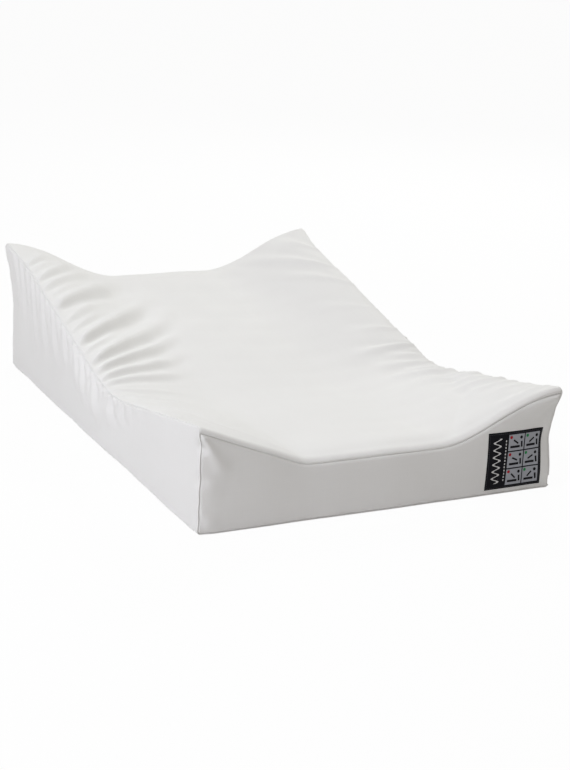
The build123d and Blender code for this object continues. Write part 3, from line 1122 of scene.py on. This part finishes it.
def grown(name, start_mesh, tree, values):
    """A plain mesh piece from a Geometry Nodes tree, given its named inputs."""
    seed = place_in_scene(name + "_seed", start_mesh)
    modifier = seed.modifiers.new(name, "NODES")
    modifier.node_group = tree
    sockets = {item.name: item.identifier for item in tree.interface.items_tree if item.in_out == "INPUT"}
    for label, value in values.items():
        modifier[sockets[label]] = value
    ready = seed.evaluated_get(bpy.context.evaluated_depsgraph_get())
    mesh = bpy.data.meshes.new_from_object(ready)
    bpy.data.objects.remove(seed)
    mesh.name = name
    return place_in_scene(name, mesh)


def sewn_line(name, points, material, closed=False):
    """A line of stitches through these points, riding on the pad."""
    mesh = bpy.data.meshes.new(name + "_line")
    edges = [(n, n + 1) for n in range(len(points) - 1)]
    if closed:
        edges.append((len(points) - 1, 0))
    mesh.from_pydata([list(point) for point in points], edges, [])
    piece = grown(name, mesh, stitches, {"Thread": material})
    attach(piece, "pad")


def thread_material(name, colour):
    """Spun sewing thread, with a fine slanting twist."""
    material, tree, shader = plain_material(name, roughness=0.6)
    shader.inputs["Base Color"].default_value = (*colour, 1)
    shader.inputs["Sheen Weight"].default_value = 0.2
    position = tree.nodes.new("ShaderNodeTexCoord")
    twist = wired(tree, "ShaderNodeTexWave", Scale=1800.0, Distortion=1.0)
    twist.bands_direction = "DIAGONAL"
    tree.links.new(position.outputs["Object"], twist.inputs["Vector"])
    raise_surface(tree, shader, twist.outputs["Fac"], strength=0.5, depth=0.00006)
    return material


black_thread = thread_material("black_sewing_thread", (0.03, 0.03, 0.035))
white_thread = thread_material("white_sewing_thread", (0.86, 0.86, 0.85))
# The line of stitches runs round the badge just inside its edge
hem = 0.0022
hem_lift = 0.0002
places_across, places_up = 24, 20
hem_right = np.linspace(badge_low.x + hem, badge_high.x - hem, places_across)
hem_up = np.linspace(badge_low.z + hem, badge_high.z - hem, places_up + 2)[1:-1]
hem_x = np.concatenate([
    hem_right, np.full(places_up, hem_right[-1]), hem_right[::-1], np.full(places_up, hem_right[0]),
])
hem_z = np.concatenate([
    np.full(places_across, badge_low.z + hem), hem_up,
    np.full(places_across, badge_high.z - hem), hem_up[::-1],
])
hem_places = on_low_end(hem_x, hem_z, badge_lift + hem_lift)
sewn_line("badge_stitches", hem_places, black_thread, closed=True)

# ---------------------------------------------------------------------------------------------
# Zip: a white coil zip along the foot of the right side. Two woven tapes are sewn behind the
# side panel's folded edge and a narrow facing; a slider with a small hanging pull closes them.
# ---------------------------------------------------------------------------------------------
facing_high = Vector(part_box("zip_facing")[1])
facing_rows = np.array([0.0, 0.0008, 0.0018, facing_high.z - 0.0004, facing_high.z])
facing_y, _ = along_pad(run_places)
facing_grid = np.empty((len(facing_rows), len(facing_y), 3))
facing_grid[..., 0] = half_width
facing_grid[..., 1] = facing_y[None, :]
facing_grid[..., 2] = facing_rows[:, None]
facing_grid = sink_seam(facing_grid, np.broadcast_to(facing_rows[:, None], facing_grid.shape[:2]), (-1, 0, 1))
facing = mesh_of_grids("zip_facing_strip", [lie(facing_grid)], [(1, 0, 0)])
lay_cloth_map(facing, facing_grid.reshape(-1, 3)[:, 1:])
facing.data.materials.append(percale)
thicken(facing, "cloth_thickness", cloth_thickness * cloth_shell_share)
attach(facing, "pad")
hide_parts("zip_facing")


tape_rib_pitch = 0.0008
tape_end_gap = 0.0012
tape_rows, tape_columns = 6, 160


def twill_material(name, colour, thread_shade_and_tone_colour):
    """Woven zip tape: fine slanting ribs."""
    material, tree, shader = plain_material(name, roughness=0.8)
    position = tree.nodes.new("ShaderNodeTexCoord")
    apart = tree.nodes.new("ShaderNodeSeparateXYZ")
    tree.links.new(position.outputs["Object"], apart.inputs[0])
    slant = calculate(tree, "ADD", apart.outputs["Y"], apart.outputs["Z"])
    rib = calculate(tree, "SINE", calculate(tree, "MULTIPLY", slant, 2 * math.pi / tape_rib_pitch))
    # The ribs are painted lighter and darker: painted shade between them
    blend_threads(tree, shader, calculate(tree, "MULTIPLY_ADD", rib, 0.4, 0.5), thread_shade_and_tone_colour, colour)
    raise_surface(tree, shader, rib, strength=0.5, depth=0.00015)
    return material


def paint_node(node, material):
    """Gives a piece that comes ready made from the frame its one material."""
    mesh = nodes[node].data
    mesh.materials.clear()
    mesh.materials.append(material)


# The second colour is painted shade between the tape's ribs
tape_twill = twill_material("white_zip_tape", (0.84, 0.84, 0.83), (0.66, 0.66, 0.65))
for node in ("zip_tape_upper", "zip_tape_lower"):
    tape_low, tape_high = (Vector(corner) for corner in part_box(node))
    tape_y = np.linspace(low_end_y + tape_end_gap, high_end_y - tape_end_gap, tape_columns)
    tape_z = np.linspace(tape_low.z, tape_high.z, tape_rows)
    tape_grid = np.empty((tape_rows, tape_columns, 3))
    tape_grid[..., 0] = tape_high.x
    tape_grid[..., 1] = tape_y[None, :]
    tape_grid[..., 2] = tape_z[:, None]
    tape = mesh_of_grids(node + "_woven", [tape_grid], [(1, 0, 0)])
    tape.data.materials.append(tape_twill)
    thicken(tape, "tape_thickness", tape_high.x - tape_low.x)
    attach(tape, "pad")
    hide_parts(node)


def coil_plastic_material():
    """Drawn nylon: white and smooth, its tone a little uneven from turn to turn."""
    material, tree, shader = plain_material("white_coil_nylon", roughness=0.38)
    position = tree.nodes.new("ShaderNodeTexCoord")
    cloud = wired(tree, "ShaderNodeTexNoise", Scale=260.0, Detail=1.0)
    tree.links.new(position.outputs["Object"], cloud.inputs["Vector"])
    tint_between(tree, shader, cloud.outputs["Fac"], 0.0, (0.74, 0.74, 0.73), 1.0, (0.88, 0.88, 0.87))
    return material


def coil_tree():
    """A zip coil: flattened loops of wire set close along a line, each leaning a little."""
    tree = bpy.data.node_groups.new("zip_coil_turns", "GeometryNodeTree")
    face = tree.interface
    face.new_socket("Geometry", in_out="INPUT", socket_type="NodeSocketGeometry")
    sizes = {"Pitch": 0.0013, "Wire Radius": 0.00036, "Loop Depth": 0.0009, "Loop Width": 0.0012}
    for name, value in sizes.items():
        face.new_socket(name, in_out="INPUT", socket_type="NodeSocketFloat").default_value = value
    face.new_socket("Nylon", in_out="INPUT", socket_type="NodeSocketMaterial")
    face.new_socket("Geometry", in_out="OUTPUT", socket_type="NodeSocketGeometry")
    entry = tree.nodes.new("NodeGroupInput")
    leave = tree.nodes.new("NodeGroupOutput")
    line = tree.nodes.new("GeometryNodeMeshToCurve")
    steps = tree.nodes.new("GeometryNodeResampleCurve")
    steps.mode = "LENGTH"
    loop = tree.nodes.new("GeometryNodeCurvePrimitiveCircle")
    loop.inputs["Resolution"].default_value = 9
    loop.inputs["Radius"].default_value = 1.0
    size = tree.nodes.new("ShaderNodeCombineXYZ")
    size.inputs["Z"].default_value = 1.0
    shape = tree.nodes.new("GeometryNodeTransform")
    wire = tree.nodes.new("GeometryNodeCurvePrimitiveCircle")
    wire.inputs["Resolution"].default_value = 5
    solid = tree.nodes.new("GeometryNodeCurveToMesh")
    put = tree.nodes.new("GeometryNodeInstanceOnPoints")
    put.inputs["Rotation"].default_value = (math.radians(90), 0.0, math.radians(9))
    real = tree.nodes.new("GeometryNodeRealizeInstances")
    paint = tree.nodes.new("GeometryNodeSetMaterial")
    link = tree.links.new
    link(entry.outputs["Geometry"], line.inputs["Mesh"])
    link(line.outputs["Curve"], steps.inputs["Curve"])
    link(entry.outputs["Pitch"], steps.inputs["Length"])
    link(entry.outputs["Loop Depth"], size.inputs["X"])
    link(entry.outputs["Loop Width"], size.inputs["Y"])
    link(loop.outputs["Curve"], shape.inputs["Geometry"])
    link(size.outputs["Vector"], shape.inputs["Scale"])
    link(entry.outputs["Wire Radius"], wire.inputs["Radius"])
    link(shape.outputs["Geometry"], solid.inputs["Curve"])
    link(wire.outputs["Curve"], solid.inputs["Profile Curve"])
    link(steps.outputs["Curve"], put.inputs["Points"])
    link(solid.outputs["Mesh"], put.inputs["Instance"])
    link(put.outputs["Instances"], real.inputs["Geometry"])
    link(real.outputs["Geometry"], paint.inputs["Geometry"])
    link(entry.outputs["Nylon"], paint.inputs["Material"])
    link(paint.outputs["Geometry"], leave.inputs["Geometry"])
    return tree


nylon = coil_plastic_material()
coil_turns = coil_tree()
wire_radius = 0.00036
coil_end_gap = 0.001
for node in ("zip_coil_upper", "zip_coil_lower"):
    coil_low, coil_high = (Vector(corner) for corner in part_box(node))
    coil_x = (coil_low.x + coil_high.x) / 2
    coil_z = (coil_low.z + coil_high.z) / 2
    axis = bpy.data.meshes.new(node + "_axis")
    axis_ends = [(coil_x, coil_low.y + coil_end_gap, coil_z), (coil_x, coil_high.y - coil_end_gap, coil_z)]
    axis.from_pydata(axis_ends, [(0, 1)], [])
    coil = grown(node + "_turns", axis, coil_turns, {
        "Wire Radius": wire_radius,
        "Loop Depth": (coil_high.x - coil_low.x) / 2 - wire_radius,
        "Loop Width": (coil_high.z - coil_low.z) / 2 - wire_radius,
        "Nylon": nylon,
    })
    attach(coil, "pad")
    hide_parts(node)
for node in ("zip_top_stop_upper", "zip_top_stop_lower", "zip_bottom_stop"):
    paint_node(node, nylon)


def enamel_material():
    """Zip hardware: dark enamel over die-cast metal, worn to a softer tone in places."""
    material, tree, shader = plain_material("dark_zip_enamel", roughness=0.4)
    shader.inputs["Metallic"].default_value = 0.35
    position = tree.nodes.new("ShaderNodeTexCoord")
    wear = wired(tree, "ShaderNodeTexNoise", Scale=420.0, Detail=4.0)
    tree.links.new(position.outputs["Object"], wear.inputs["Vector"])
    tint_between(tree, shader, wear.outputs["Fac"], 0.35, (0.035, 0.035, 0.040), 0.80, (0.11, 0.11, 0.12))
    shine = wired(tree, "ShaderNodeMapRange", To_Min=0.28, To_Max=0.5)
    tree.links.new(wear.outputs["Fac"], shine.inputs["Value"])
    tree.links.new(shine.outputs["Result"], shader.inputs["Roughness"])
    return material


enamel = enamel_material()
for node in ("zip_slider", "zip_pull"):
    paint_node(node, enamel)

# Two rows of stitches hold the side panel's folded edge down on the upper tape
stitch_heights = (0.0018, 0.0052)
stitch_lift = 0.0002
# The rows stop this many places of the panel short of its corner seams
places_left_out = 8
for number, above_mouth in enumerate(stitch_heights):
    row = np.interp(
        above_mouth, panels["right"][:, len(run_places) // 2, 2] - zip_mouth_top, np.arange(len(up_shares))
    )
    low_row = int(row)
    part = row - low_row
    line = finished["right"][low_row] * (1 - part) + finished["right"][low_row + 1] * part
    sewn = line[places_left_out:-places_left_out] + np.array([stitch_lift, 0, 0])
    sewn_line(f"zip_stitch_row_{number + 1}", sewn, white_thread)

# ---------------------------------------------------------------------------------------------
# Studio: a pale floor that runs out of sight, soft lamps overhead, high and low on the left
# and behind on the right, and a dim warm surround that fills the shade at the low end.
# ---------------------------------------------------------------------------------------------
floor_reach = 40.0
floor_drop = 0.0002
floor_glow = 0.96
floor_corners = [
    (across * floor_reach, along * floor_reach, 0)
    for across, along in ((-1, -1), (1, -1), (1, 1), (-1, 1))
]
floor_mesh = bpy.data.meshes.new("studio_floor")
floor_mesh.from_pydata(floor_corners, [], [(0, 1, 2, 3)])
floor = place_in_scene("studio_floor", floor_mesh)
floor.location.z = -floor_drop


def white_where_seen(tree, lit, white, end, share):
    """Shows white, by this share, to rays that look at a surface, and the lit surface to the rest."""
    rays = tree.nodes.new("ShaderNodeLightPath")
    seen = calculate(tree, "MAXIMUM", rays.outputs["Is Camera Ray"], rays.outputs["Is Glossy Ray"])
    seen = calculate(tree, "MAXIMUM", seen, rays.outputs["Is Transmission Ray"])
    seen = calculate(tree, "MULTIPLY", seen, share)
    blend = tree.nodes.new("ShaderNodeMixShader")
    tree.links.new(seen, blend.inputs["Fac"])
    tree.links.new(lit.outputs[0], blend.inputs[1])
    tree.links.new(white.outputs[0], blend.inputs[2])
    tree.links.new(blend.outputs[0], tree.nodes[end].inputs["Surface"])


floor_paint, floor_tree, matte = plain_material("pale_floor", roughness=0.9)
matte.inputs["Base Color"].default_value = (0.85, 0.85, 0.85, 1)
glow = wired(floor_tree, "ShaderNodeEmission", Color=(1, 1, 1, 1), Strength=1.0)
white_where_seen(floor_tree, matte, glow, "Material Output", floor_glow)
floor.data.materials.append(floor_paint)

world = bpy.data.worlds.new("studio")
world.use_nodes = True
bpy.context.scene.world = world
world_tree = world.node_tree
surround = world_tree.nodes["Background"]
surround.inputs["Color"].default_value = (1.0, 0.92, 0.82, 1)
surround.inputs["Strength"].default_value = 0.25
backdrop = wired(world_tree, "ShaderNodeBackground", Color=(1, 1, 1, 1), Strength=1.0)
white_where_seen(world_tree, surround, backdrop, "World Output", share=1.0)


lamp_aim = Vector((0, 0, 0.1))


def soft_lamp(name, place, size, power, colour):
    """A square soft box, aimed at the middle of the pad."""
    data = bpy.data.lights.new(name, "AREA")
    data.shape = "SQUARE"
    data.size = size
    data.energy = power
    data.color = colour
    lamp = place_in_scene(name, data)
    lamp.location = place
    lamp.rotation_euler = (lamp_aim - Vector(place)).to_track_quat("-Z", "Y").to_euler()


soft_lamp("overhead_box", (0.0, 0.0, 2.6), size=0.7, power=11.0, colour=(0.98, 1.0, 0.98))
soft_lamp("left_high_box", (-1.7, -0.5, 2.1), size=0.6, power=32.0, colour=(0.91, 0.93, 1.0))
soft_lamp("left_front_box", (-2.3, -1.6, 0.8), size=0.9, power=8.5, colour=(0.93, 0.92, 1.0))
soft_lamp("right_back_box", (1.7, 1.9, 1.6), size=0.6, power=28.5, colour=(0.98, 1.0, 0.98))
